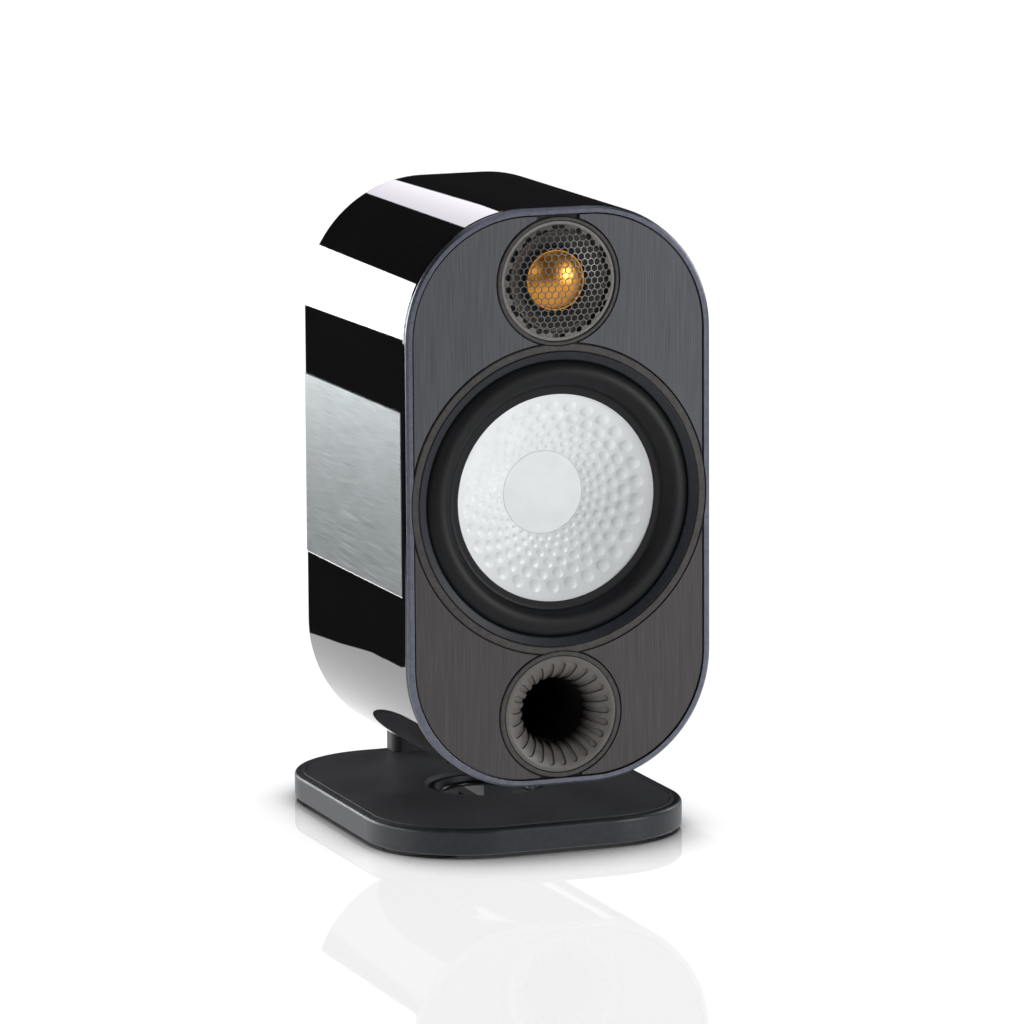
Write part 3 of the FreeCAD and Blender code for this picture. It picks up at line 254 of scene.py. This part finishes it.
NODE_FINISH = {
    "gloss_lacquer": ["cabinet_shell"],
    "satin_black": ["rear_panel", "terminal_cup"],
    "brushed_silver": ["side_panel_left", "side_panel_right"],
    "brushed_graphite": ["trim_plate_upper_left", "trim_plate_upper_right"],
    "brushed_bronze": ["trim_plate_lower_left", "trim_plate_lower_right"],
    "board_black": ["front_baffle"],
    "foam_rubber": ["baffle_gasket"],
    "bezel_satin": ["baffle_bezel"],
    "ring_satin": ["woofer_trim_ring", "tweeter_trim_ring", "port_trim_ring"],
    "clamp_satin": ["woofer_clamp_ring"],
    "grille_paint": ["tweeter_grille"],
    "faceplate_plastic": ["tweeter_faceplate"],
    "gold_dome": ["tweeter_dome"],
    "surround_rubber": ["woofer_surround", "tweeter_surround"],
    "coil_copper": ["woofer_voice_coil", "tweeter_voice_coil", "crossover_inductors"],
    "plated_steel": ["woofer_top_plate", "woofer_yoke", "tweeter_top_plate", "tweeter_yoke", "terminal_nuts",
                     "mount_backing_plate"],
    "magnet_ferrite": ["woofer_magnet", "tweeter_magnet"],
    "screw_black": ["panel_screws", "woofer_screws", "tweeter_screws", "neck_bolts", "arm_bolts",
                    "arm_foot_bolts"],
    "cone_white": ["woofer_cone", "woofer_centre_cap"],
    "spider_cloth": ["woofer_spider"],
    "basket_cast": ["woofer_basket"],
    "tube_plastic": ["port_tube", "crossover_standoffs"],
    "circuit_green": ["crossover_board"],
    "capacitor_film": ["crossover_capacitors"],
    "resistor_ceramic": ["crossover_resistors"],
    "gold_brass": ["terminal_studs", "terminal_washer_black", "terminal_washer_red"],
    "cap_black": ["terminal_cap_black"],
    "cap_red": ["terminal_cap_red"],
    "stand_satin": ["stand_arm", "neck_bracket"],
    "base_powder": ["base_plate"],
    "mat_rubber": ["base_mat"],
    "bright_ring": ["cable_port_ring"],
    "foot_rubber": ["foot_pads"],
    "foam_lining": ["damping_foam"],
}


def dress(obj, material):
    """Give an object this one material."""
    obj.data.materials.clear()
    obj.data.materials.append(material)


materials = build_materials()


def flare_material():
    """Warm grey moulding, darker where the pockets' walls and the throat shut out the light."""
    material, tree, shader = surface("flare_plastic", rgb(80, 76, 73), rgb(88, 84, 81), (0.42, 0.54),
                                     cells=GRAIN, bump=0.15, bump_mm=0.01)
    plain = shader.inputs["Base Color"].links[0].from_socket
    shade = node(tree, "Attribute", attribute_name="shade")
    mix = node(tree, "Mix", data_type="RGBA")
    socket_a, socket_b, result = colour_sockets(mix)
    link(tree, plain, socket_a)
    socket_b.default_value = rgb(14, 13, 12)
    link(tree, shade.outputs["Fac"], mix.inputs[0])
    link(tree, result, shader.inputs["Base Color"])
    return material


materials["flare_plastic"] = flare_material()
for finish_name, members in NODE_FINISH.items():
    for member in members:
        dress(nodes[member], materials[finish_name])


# ---------------------------------------------------------------- round pieces built in mesh code

def arc_points(start, middle, end, count):
    """Points on the circular arc through three (radius, depth) points, start and end included."""
    a, b, c = (np.array(point, float) for point in (start, middle, end))
    lhs = 2 * np.array([b - a, c - a])
    rhs = np.array([b @ b - a @ a, c @ c - a @ a])
    centre = np.linalg.solve(lhs, rhs)
    radius = np.linalg.norm(a - centre)
    angles = [math.atan2(*(point - centre)[::-1]) for point in (a, b, c)]
    turn = (angles[2] - angles[0]) % (2 * math.pi)
    way = (angles[1] - angles[0]) % (2 * math.pi)
    if way > turn:
        turn -= 2 * math.pi
    steps = angles[0] + turn * np.linspace(0, 1, count)
    return [tuple(centre + radius * np.array([math.cos(s), math.sin(s)])) for s in steps]


def line_points(start, end, count):
    """Evenly spaced points from start to end, both included."""
    return [tuple(np.array(start) + (np.array(end) - np.array(start)) * s) for s in np.linspace(0, 1, count)]


def outline_normals(outline):
    """Unit normals of a closed (radius, depth) outline, to the right of its direction of travel."""
    points = np.array(outline)
    along = np.roll(points, -1, 0) - np.roll(points, 1, 0)
    normal = np.stack([along[:, 1], -along[:, 0]], 1)
    return normal / np.maximum(np.linalg.norm(normal, axis=1, keepdims=True), 1e-9)


def new_object(name, vertices, faces, material, smooth_angle=35.0):
    """A mesh object with smooth faces and edges sharp above the angle, in degrees."""
    mesh = bpy.data.meshes.new(name)
    mesh.from_pydata([tuple(v) for v in vertices], [], [tuple(f) for f in faces])
    mesh.polygons.foreach_set("use_smooth", [True] * len(mesh.polygons))
    mesh.set_sharp_from_angle(angle=math.radians(smooth_angle))
    mesh.update()
    obj = bpy.data.objects.new(name, mesh)
    bpy.context.scene.collection.objects.link(obj)
    dress(obj, material)
    return obj


def ring_grid(outline, angles, height, lift=None):
    """Vertices of an outline spun to the given angles.

    lift(radius, depth, angle) says how far each moves along its normal.
    """
    outline = np.array(outline, float)
    normals = outline_normals(outline)
    radius = np.repeat(outline[:, 0][:, None], len(angles), 1)
    depth = np.repeat(outline[:, 1][:, None], len(angles), 1)
    theta = np.repeat(np.array(angles)[None, :], len(outline), 0)
    if lift is not None:
        moved = lift(radius, depth, theta)
        radius = radius + moved * normals[:, 0][:, None]
        depth = depth + moved * normals[:, 1][:, None]
    x = radius * np.cos(theta)
    z = height + radius * np.sin(theta)
    return np.stack([x * MM, (FACE_Y + depth) * MM, z * MM], 2)


def full_turn(count):
    return np.linspace(0, 2 * math.pi, count, endpoint=False)


def spin(name, outline, height, angles, material, lift=None, closed_round=True, smooth_angle=35.0):
    """A closed (radius, depth) outline turned about a horizontal axis: a full ring or an open sector."""
    grid = ring_grid(outline, angles, height, lift)
    rows, columns = grid.shape[:2]
    faces = []
    for row in range(rows):
        after = (row + 1) % rows
        for column in range(columns if closed_round else columns - 1):
            beside = (column + 1) % columns
            faces.append((row * columns + column, row * columns + beside,
                          after * columns + beside, after * columns + column))
    return new_object(name, grid.reshape(-1, 3), faces, material, smooth_angle)


# ---------------------------------------------------------------- woofer cone with its raised dimples

RIM_RADIUS, RIM_DEPTH, CONE_THICKNESS = 45.2, 5.0, 0.8
INNER_RADIUS, FLOOR_DEPTH, CONE_MIDDLE = 18.2, 21.0, (31.7, 14.2)
BUMP_RINGS = ((19.9, 2.7), (22.7, 3.1), (26.1, 3.7), (30.2, 4.4), (34.4, 5.0), (39.4, 5.7))
BUMPS_PER_RING = 30
BUMP_HEIGHT_SHARE = 0.13
BUMP_LENGTHENING = 1.16
BUMP_CRISPNESS = 0.85
CONE_COLUMNS = 900
CONE_LIP = 48.5
CAP_SEAT_RADIUS = 16.45


def cone_bumps(radius, theta):
    """Height of the round bumps pressed into the cone's front."""
    lift = np.zeros_like(radius)
    pitch = 2 * math.pi / BUMPS_PER_RING
    for index, (ring_radius, diameter) in enumerate(BUMP_RINGS):
        offset = pitch / 2 if index % 2 else 0.0
        sideways = ((theta - offset + pitch / 2) % pitch - pitch / 2) * radius
        outward = (radius - ring_radius) * BUMP_LENGTHENING
        share = np.sqrt(sideways ** 2 + outward ** 2) / (diameter / 2)
        dome = np.clip(1 - share ** 2, 0, 1) ** BUMP_CRISPNESS
        lift = np.maximum(lift, dome * diameter * BUMP_HEIGHT_SHARE)
    return lift


def build_cone():
    """The woofer's cone with bumps on its front; it replaces the plain CAD cone."""
    t = CONE_THICKNESS
    seat = FLOOR_DEPTH + 0.7
    middle_back = (CONE_MIDDLE[0], CONE_MIDDLE[1] + t)
    front = arc_points((RIM_RADIUS, RIM_DEPTH), CONE_MIDDLE, (INNER_RADIUS, FLOOR_DEPTH), 110)
    back = arc_points((RIM_RADIUS, RIM_DEPTH + t), middle_back, (INNER_RADIUS + t, FLOOR_DEPTH + t), 24)[::-1]
    outline = [(CONE_LIP, RIM_DEPTH + t), (CONE_LIP, RIM_DEPTH)] + front
    outline += [(INNER_RADIUS, seat), (CAP_SEAT_RADIUS, seat), (CAP_SEAT_RADIUS, seat + t)]
    outline += [(INNER_RADIUS + t, seat + t)] + back
    rows = len(front)

    def lift(radius, depth, theta):
        raised = cone_bumps(radius, theta)
        raised[:2] = 0
        raised[2 + rows:] = 0
        return -raised

    columns = full_turn(CONE_COLUMNS)
    piece = spin("cone_dimpled", outline, WOOFER_Z, columns, materials["cone_white"], lift)
    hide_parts("woofer_cone")
    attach(piece, "woofer_diaphragm")


# ---------------------------------------------------------------- bass port's mouth with its ring of pockets

POCKETS = 25
POCKET_DEPTH = 0.75
POCKET_OUTER = 22.6
POCKET_SHARE = 0.5
WALL = 0.28
POCKET_COLUMNS = 40
MOUTH_RADIUS, FLARE_TOP_DEPTH, THROAT_RADIUS, THROAT_DEPTH = 24.0, 0.5, 14.3, 14.0


def smooth_step(value):
    value = np.clip(value, 0, 1)
    return value * value * (3 - 2 * value)


def pocket_field(radius, theta):
    """1 inside a pocket and 0 outside, with a narrow wall between."""
    pitch = 2 * math.pi / POCKETS
    half = pitch * POCKET_SHARE / 2 * radius
    sideways = np.abs((theta + pitch / 2) % pitch - pitch / 2) * radius
    beyond = np.maximum(radius - (POCKET_OUTER - half), 0)
    reach = np.sqrt(sideways ** 2 + beyond ** 2)
    return smooth_step((half - reach) / WALL + 0.5)


def build_flare():
    """The port's mouth with its pockets; it replaces the plain CAD flare."""
    flange_back, step = 3.8, 1.8
    lip = [(25.45, step), (25.45, 0.62), (25.3, FLARE_TOP_DEPTH)]
    front = line_points((25.0, FLARE_TOP_DEPTH), (24.05, FLARE_TOP_DEPTH), 5)
    bend = math.sqrt(0.5)
    middle = (MOUTH_RADIUS - 9.7 * bend, THROAT_DEPTH - 13.5 * bend)
    start, end = (MOUTH_RADIUS, FLARE_TOP_DEPTH), (THROAT_RADIUS, THROAT_DEPTH)
    curve = arc_points(start, middle, end, 90)
    back = [(16.3, 14.0), (16.3, 11.0), (23.0, 4.8), (23.0, flange_back), (27.6, flange_back), (27.6, step)]
    outline = lip + front + curve + back
    first, last = len(lip) + len(front), len(lip) + len(front) + len(curve)

    def lift(radius, depth, theta):
        field = pocket_field(radius, theta) * POCKET_DEPTH
        field *= smooth_step((14.5 - depth) / 3.0)
        field[:first] = 0
        field[last:] = 0
        return field

    count = POCKETS * POCKET_COLUMNS
    angles = full_turn(count)
    piece = spin("port_mouth", outline, PORT_Z, angles, materials["flare_plastic"], lift, smooth_angle=60.0)
    points = np.array(outline)
    radius = np.repeat(points[:, 0][:, None], count, 1)
    field = pocket_field(radius, np.repeat(angles[None, :], len(points), 0))
    wall = np.clip(1 - np.abs(field - 0.5) * 2.2, 0, 1)
    throat = smooth_step((points[:, 1][:, None] - 4.0) / 8.5)
    shade = np.clip(np.maximum(wall * 0.85, throat), 0, 1)
    shade[:first] = 0
    shade[last:] = 0
    shade = np.where(points[:, 1][:, None] > 12.5, 1.0, shade)
    attribute = piece.data.attributes.new("shade", "FLOAT", "POINT")
    attribute.data.foreach_set("value", shade.astype(np.float32).ravel())
    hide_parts("port_flare")
    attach(piece, "cabinet_and_stand")


# ---------------------------------------------------------------- flexible rings built in sectors


def flexible_ring(name, node_name, outline, height, sectors, columns, finish):
    """A ring in sectors that replaces a CAD node.
    """
    outline = np.array(outline, float)
    normals = outline_normals(outline)
    step = 2 * math.pi / sectors
    for index in range(sectors):
        angles = np.linspace(index * step, (index + 1) * step, columns + 1)
        piece = spin(f"{name}_{index + 1:02d}", outline, height, angles, materials[finish],
                     closed_round=False, smooth_angle=80.0)
        theta = np.repeat(angles[None, :], len(outline), 0)
        outward = normals[:, 0][:, None]
        backward = np.repeat(normals[:, 1][:, None], len(angles), 1)
        facing = np.stack([outward * np.cos(theta), backward, outward * np.sin(theta)], 2)
        piece.data.normals_split_custom_set_from_vertices([tuple(-n) for n in facing.reshape(-1, 3)])
        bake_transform(piece)
        if index == 0:
            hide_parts(node_name)


def build_woofer_surround():
    """The half roll of rubber between cone and clamp ring."""
    t = 0.8
    roll_front = arc_points((60.15, 3.0), (54.325, 0.2), (48.5, 4.2), 26)
    roll_back = arc_points((60.15, 3.0 + t), (54.325, 0.2 + t), (48.5, 4.2 + t), 26)[::-1]
    outline = [(63.95, 3.0 + t), (63.95, 3.0)] + line_points((62.8, 3.0), (60.6, 3.0), 3) + roll_front
    outline += [(46.8, 4.2), (45.35, 4.2), (45.2, 4.35), (45.2, 4.2 + t), (46.8, 4.2 + t)] + roll_back
    flexible_ring("roll_surround", "woofer_surround", outline, WOOFER_Z, 24, 12, "surround_rubber")


def build_tweeter_surround():
    """The small rubber roll round the tweeter's dome."""
    t, depth, rise = 0.35, 4.0, 0.9
    roll_front = arc_points((14.75, depth), (14.0, depth - rise), (13.25, depth), 12)
    roll_back = arc_points((14.75, depth + t), (14.0, depth - rise + t), (13.25, depth + t), 12)[::-1]
    outline = [(16.55, depth + t), (16.55, depth), (15.6, depth)] + roll_front
    outline += [(13.05, depth), (13.05, depth + t)] + roll_back
    flexible_ring("dome_surround", "tweeter_surround", outline, TWEETER_Z, 16, 10, "surround_rubber")


def build_spider():
    """The woven suspension behind the cone: round waves between the coil's former and the basket's ledge."""
    inner, outer, ledge, wave, rise, front, t = 17.0, 41.0, 45.5, 2.4, 1.1, 25.4, 0.6
    radii = np.linspace(outer, inner, 121)
    depths = front - rise * np.sin(math.pi * (outer - radii) / wave)
    face = list(zip(radii, depths))
    rear = [(radius, depth + t) for radius, depth in zip(radii, depths)][::-1]
    outline = [(ledge, front + t), (ledge, front)] + face + rear
    flexible_ring("spider_cloth", "woofer_spider", outline, WOOFER_Z, 24, 12, "spider_cloth")


# ---------------------------------------------------------------- tweeter grille with its honeycomb of holes

GRILLE_DISH, GRILLE_EDGE, GRILLE_RIM_DEPTH = 24.65, 25.85, 1.0
CROWN_RADIUS, CROWN_REACH, SHOULDER_RADIUS, CROWN_DEPTH = 90.0, 14.0, 27.372, -4.178
HOLE_PITCH, HOLE_WIDTH, SHEET, EDGE_LAND = 3.05, 2.68, 0.5, 0.4
BEYOND_EDGE, NEAR_EDGE = 0.8, 0.35
RIM_INNER, RIM_BACK = 24.4, 1.75


def grille_depth(radius):
    """Depth of the domed sheet's front: a flat crown, then a rounder shoulder."""
    if radius <= CROWN_REACH:
        return CROWN_DEPTH + CROWN_RADIUS - math.sqrt(CROWN_RADIUS ** 2 - radius ** 2)
    angle = math.asin(CROWN_REACH / CROWN_RADIUS)
    centre = CROWN_REACH - SHOULDER_RADIUS * math.sin(angle)
    drop = CROWN_DEPTH + CROWN_RADIUS * (1 - math.cos(angle)) + SHOULDER_RADIUS * math.cos(angle)
    return drop - math.sqrt(SHOULDER_RADIUS ** 2 - (radius - centre) ** 2)


def build_grille():
    """A domed sheet of hexagonal holes inside a flat rim; it replaces the CAD grille."""
    vertices, faces, index = [], [], {}

    def corner(x, z, layer, limit):
        radius = math.hypot(x, z)
        if radius > limit:
            x, z, radius = x * limit / radius, z * limit / radius, limit
        key = (round(x, 3), round(z, 3), layer)
        if key not in index:
            index[key] = len(vertices)
            depth = grille_depth(radius) + layer * SHEET
            vertices.append((x * MM, (FACE_Y + depth) * MM, (TWEETER_Z + z) * MM))
        return index[key]

    def hexagon(x, z, size, layer, limit):
        turns = [math.radians(30 + 60 * k) for k in range(6)]
        return [corner(x + size * math.cos(a), z + size * math.sin(a), layer, limit) for a in turns]

    cell, hole = HOLE_PITCH / math.sqrt(3), HOLE_WIDTH / math.sqrt(3)
    row_pitch = HOLE_PITCH * math.sqrt(0.75)
    rows = int(GRILLE_EDGE / row_pitch) + 1
    limit = GRILLE_DISH - EDGE_LAND
    for row in range(-rows, rows + 1):
        for column in range(-rows - 2, rows + 3):
            x = (column + 0.5 * (row % 2)) * HOLE_PITCH
            z = row * row_pitch
            reach = math.hypot(x, z)
            if reach > GRILLE_DISH + BEYOND_EDGE * cell:
                continue
            near = hexagon(x, z, cell, 0, GRILLE_DISH)
            far = hexagon(x, z, cell, 1, GRILLE_DISH)
            if reach > GRILLE_DISH - NEAR_EDGE * cell:
                if len(set(near)) == 6:
                    faces += [near, far[::-1]]
                continue
            front = hexagon(x, z, hole, 0, limit)
            back = hexagon(x, z, hole, 1, limit)
            for k in range(6):
                n = (k + 1) % 6
                faces.append((near[k], near[n], front[n], front[k]))
                faces.append((far[n], far[k], back[k], back[n]))
                faces.append((front[k], front[n], back[n], back[k]))
    sheet = new_object("grille_sheet", vertices, faces, materials["grille_paint"])
    rim_outline = [(RIM_INNER, GRILLE_RIM_DEPTH), (RIM_INNER, RIM_BACK), (GRILLE_EDGE, RIM_BACK),
                   (GRILLE_EDGE, GRILLE_RIM_DEPTH)]
    rim = spin("grille_rim", rim_outline, TWEETER_Z, full_turn(180), materials["grille_paint"])
    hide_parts("tweeter_grille")
    for piece in (sheet, rim):
        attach(piece, "cabinet_and_stand")


# ---------------------------------------------------------------- stage, lights and camera

def floor_material():
    """White acrylic: glows evenly, with painted shade where the object stands, and mirrors it faintly."""
    material = bpy.data.materials.new("floor_acrylic")
    material.use_nodes = True
    tree = material.node_tree
    tree.nodes.clear()
    output = node(tree, "OutputMaterial")
    contact_shade = node(tree, "AmbientOcclusion", Distance=0.05)
    contact_shade.samples = 8
    glow = node(tree, "Emission", Color=(1, 1, 1, 1))
    matte = node(tree, "BsdfDiffuse", Color=(0.05, 0.05, 0.05, 1))
    mirror = node(tree, "BsdfGlossy", Color=(0.17, 0.17, 0.172, 1), Roughness=0.03)
    first = node(tree, "AddShader")
    second = node(tree, "AddShader")
    # Painted shade: the floor's glow dims with ambient occlusion next to and under the object.
    link(tree, spread(tree, contact_shade.outputs["AO"], 0.0, 0.82, 0.42, 1.0), glow.inputs["Strength"])
    link(tree, glow.outputs["Emission"], first.inputs[0])
    link(tree, matte.outputs["BSDF"], first.inputs[1])
    link(tree, first.outputs["Shader"], second.inputs[0])
    link(tree, mirror.outputs["BSDF"], second.inputs[1])
    link(tree, second.outputs["Shader"], output.inputs["Surface"])
    return material


def glow_material(name, strength):
    """An evenly glowing white."""
    material = bpy.data.materials.new(name)
    material.use_nodes = True
    tree = material.node_tree
    tree.nodes.clear()
    output = node(tree, "OutputMaterial")
    glow = node(tree, "Emission", Color=(1, 1, 1, 1), Strength=strength)
    link(tree, glow.outputs["Emission"], output.inputs["Surface"])
    return material


def level_card(name, x_range, y_range, z, material):
    """A flat level stage card."""
    (x_low, x_high), (y_low, y_high) = x_range, y_range
    corners = [(x_low, y_low, z), (x_high, y_low, z), (x_high, y_high, z), (x_low, y_high, z)]
    mesh = bpy.data.meshes.new(name)
    mesh.from_pydata(corners, [], [(0, 1, 2, 3)])
    obj = bpy.data.objects.new(name, mesh)
    bpy.context.scene.collection.objects.link(obj)
    dress(obj, material)
    return obj


def softbox(name, place, target, width, height, radiance, colour=(1.0, 1.0, 1.0)):
    """A rectangular light that faces the target and hides from the camera."""
    light = bpy.data.lights.new(name, "AREA")
    light.shape = "RECTANGLE"
    light.size = width
    light.size_y = height
    light.energy = radiance * math.pi * width * height
    light.color = colour
    light.spread = math.pi
    obj = bpy.data.objects.new(name, light)
    bpy.context.scene.collection.objects.link(obj)
    obj.location = place
    obj.rotation_mode = "QUATERNION"
    obj.rotation_quaternion = (Vector(place) - Vector(target)).to_track_quat("Z", "Y")
    obj.visible_camera = False
    return obj


def light_only(obj, receiver):
    """Let a light reach one object only."""
    group = bpy.data.collections.new(obj.name + "_receivers")
    group.objects.link(receiver)
    obj.light_linking.receiver_collection = group


def build_floor():
    """The floor that the camera sees, and the card that stands for it in the gloss shell."""
    floor = level_card("floor", (-14, 14), (-6, 40), -0.0002, floor_material())
    floor.visible_glossy = False
    glow = glow_material("table_glow", 0.95)
    table = level_card("table_seen_in_gloss", (-0.75, 1.4), (-1.6, 0.33), -0.0004, glow)
    table.visible_camera = False
    table.visible_diffuse = False
    table.visible_shadow = False
    return floor


def build_world():
    """A nearly black surrounding, so that only the soft boxes light the object."""
    world = bpy.data.worlds.new("studio")
    world.use_nodes = True
    world.node_tree.nodes["Background"].inputs["Color"].default_value = (0.012, 0.012, 0.013, 1)
    bpy.context.scene.world = world


MIDDLE = (0, 0, 0.16)
SOFTBOXES = (
    # name, place, target, width, height, radiance, colour
    ("softbox_back_left", (-1.15, 1.55, 0.33), (0, 0.0, 0.33), 1.5, 0.66, 9.0, (1.0, 1.0, 1.0)),
    ("strip_back", (0.35, 2.0, 1.0), (0, 0, 0.27), 0.46, 0.34, 1.8, (0.95, 0.92, 1.0)),
    ("overhead", (0.1, -0.2, 1.7), MIDDLE, 1.3, 1.3, 0.9, (0.93, 0.95, 1.0)),
    ("side_left", (-1.7, 0.1, 0.35), MIDDLE, 0.9, 0.7, 6.2, (1.0, 1.0, 1.0)),
    ("key_front_left", (-1.3, -1.7, 0.9), MIDDLE, 0.7, 0.7, 2.6, (1.0, 1.0, 1.0)),
    ("key_front_right", (1.55, -1.8, 0.5), MIDDLE, 0.7, 0.7, 20.0, (1.0, 1.0, 1.0)),
    ("fill_right", (1.6, 0.6, 0.75), MIDDLE, 0.8, 1.0, 4.0, (0.96, 0.98, 1.0)),
)


def build_stage():
    floor = build_floor()
    build_world()
    wall = softbox("wall_for_floor", (2.9, 8.4, 3.0), (0.2, 0.0, 3.0), 14.0, 6.4, 1.27)
    light_only(wall, floor)
    for box in SOFTBOXES:
        softbox(*box)


CAMERA_PLACE = (-1.0193, -2.7162, 0.6412)
CAMERA_TARGET = (0.0131, 0.0035, 0.1346)
CAMERA_ROLL_DEG = -0.35
CAMERA_LENS = 234.0


def build_camera():
    """A long lens, from the front left and a little above."""
    data = bpy.data.cameras.new("camera")
    data.lens = CAMERA_LENS
    data.sensor_width = 36.0
    data.clip_start = 0.1
    data.clip_end = 100.0
    obj = bpy.data.objects.new("camera", data)
    bpy.context.scene.collection.objects.link(obj)
    place = Vector(CAMERA_PLACE)
    look = (Vector(CAMERA_TARGET) - place).to_track_quat("-Z", "Y")
    roll = Quaternion((0, 0, 1), math.radians(CAMERA_ROLL_DEG))
    obj.location = place
    obj.rotation_mode = "QUATERNION"
    obj.rotation_quaternion = look @ roll
    bpy.context.scene.camera = obj


build_cone()
build_flare()
build_woofer_surround()
build_tweeter_surround()
build_spider()
build_grille()
build_stage()
build_camera()
bpy.context.scene.view_settings.view_transform = "Standard"
